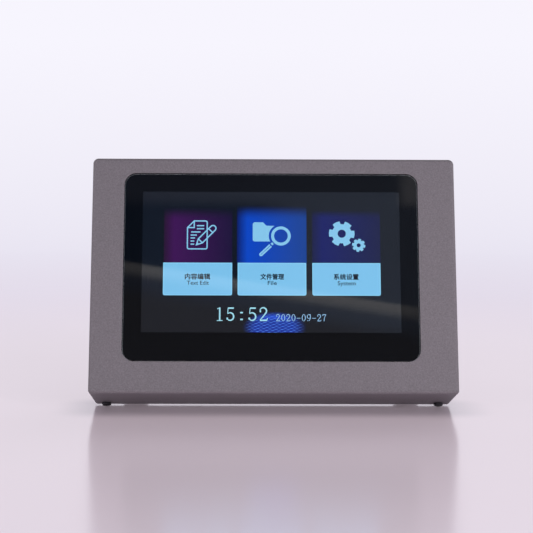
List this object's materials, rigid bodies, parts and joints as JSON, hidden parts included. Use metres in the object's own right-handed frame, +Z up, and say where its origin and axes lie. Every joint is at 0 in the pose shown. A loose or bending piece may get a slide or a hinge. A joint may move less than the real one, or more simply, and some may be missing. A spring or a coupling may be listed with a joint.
{
  "type": "date code inkjet printer",
  "caption": "Touch-screen controller box of an inkjet date coder: folded sheet-metal housing with a glass-fronted display, rear ports, rocker switch and folding rear stand.",
  "frame": {"origin": "on the surface the object stands on, below the centre of its bounding box", "axes": "+X to the right as seen by the person at the screen, +Y backwards away from the screen, +Z up; the box leans back 16 degrees about X"},
  "size_m": [0.218, 0.1126, 0.1508],
  "materials": {
    "housing_paint": "satin",
    "cover_paint": "satin",
    "black_glass": "gloss",
    "black_foam": "matte",
    "zinc_steel": "satin",
    "screw_steel": "satin",
    "nickel": "satin",
    "stand_steel": "satin",
    "lcd_film": "gloss",
    "board_laminate": "satin",
    "black_plastic": "matte",
    "rocker_plastic": "satin",
    "ribbon_film": "satin",
    "heatsink_aluminium": "satin",
    "cell_steel": "satin",
    "brass": "satin",
    "rubber": "matte"
  },
  "bodies": {
    "housing": {"front_housing": "housing_paint", "rear_cover": "cover_paint", "cover_glass": "black_glass", "glass_tape": "black_foam", "display_carrier": "zinc_steel", "lcd_backlight": "zinc_steel", "lcd_strap_left": "zinc_steel", "lcd_strap_right": "zinc_steel", "carrier_nut_1": "zinc_steel", "carrier_nut_2": "zinc_steel", "carrier_nut_3": "zinc_steel", "carrier_nut_4": "zinc_steel", "board_screw_1": "zinc_steel", "board_screw_2": "zinc_steel", "board_screw_3": "zinc_steel", "board_screw_4": "zinc_steel", "jackscrew_left": "zinc_steel", "jackscrew_right": "zinc_steel", "hinge_pin_left": "zinc_steel", "hinge_pin_right": "zinc_steel", "cover_screw_bottom_left": "screw_steel", "cover_screw_bottom_right": "screw_steel", "cover_screw_top_left": "screw_steel", "cover_screw_top_right": "screw_steel", "printhead_port": "nickel", "usb_port": "nickel", "ethernet_port": "nickel", "sensor_socket": "nickel", "encoder_socket": "nickel", "alarm_socket": "nickel", "sensor_socket_nut": "nickel", "encoder_socket_nut": "nickel", "alarm_socket_nut": "nickel", "power_socket_nut": "nickel", "hinge_bracket_left": "stand_steel", "hinge_bracket_right": "stand_steel", "lcd_panel": "lcd_film", "main_board": "board_laminate", "display_ribbon_socket": "black_plastic", "touch_ribbon_socket": "black_plastic", "coin_cell_holder": "black_plastic", "buzzer": "black_plastic", "storage_capacitor": "black_plastic", "power_choke": "black_plastic", "power_socket": "black_plastic", "switch_body": "black_plastic", "display_ribbon": "ribbon_film", "touch_ribbon": "ribbon_film", "processor_heatsink": "heatsink_aluminium", "coin_cell": "cell_steel", "earth_stud": "brass", "board_standoff_1": "brass", "board_standoff_2": "brass", "board_standoff_3": "brass", "board_standoff_4": "brass"},
    "stand": {"stand_frame": "stand_steel", "foot_pad_left": "rubber", "foot_pad_right": "rubber"},
    "rocker": {"switch_rocker": "rocker_plastic"}
  },
  "joints": [
    {"name": "stand_fold", "type": "hinge", "parent": "housing", "child": "stand", "pos_m": [0, 0.02213, 0.09524], "axis": [1, 0, 0], "range_deg": [-33.75, 0]},
    {"name": "rocker_tilt", "type": "hinge", "parent": "housing", "child": "rocker", "pos_m": [-0.0715, 0.00142, 0.04188], "axis": [1, 0, 0], "range_deg": [0, 24]}
  ]
}
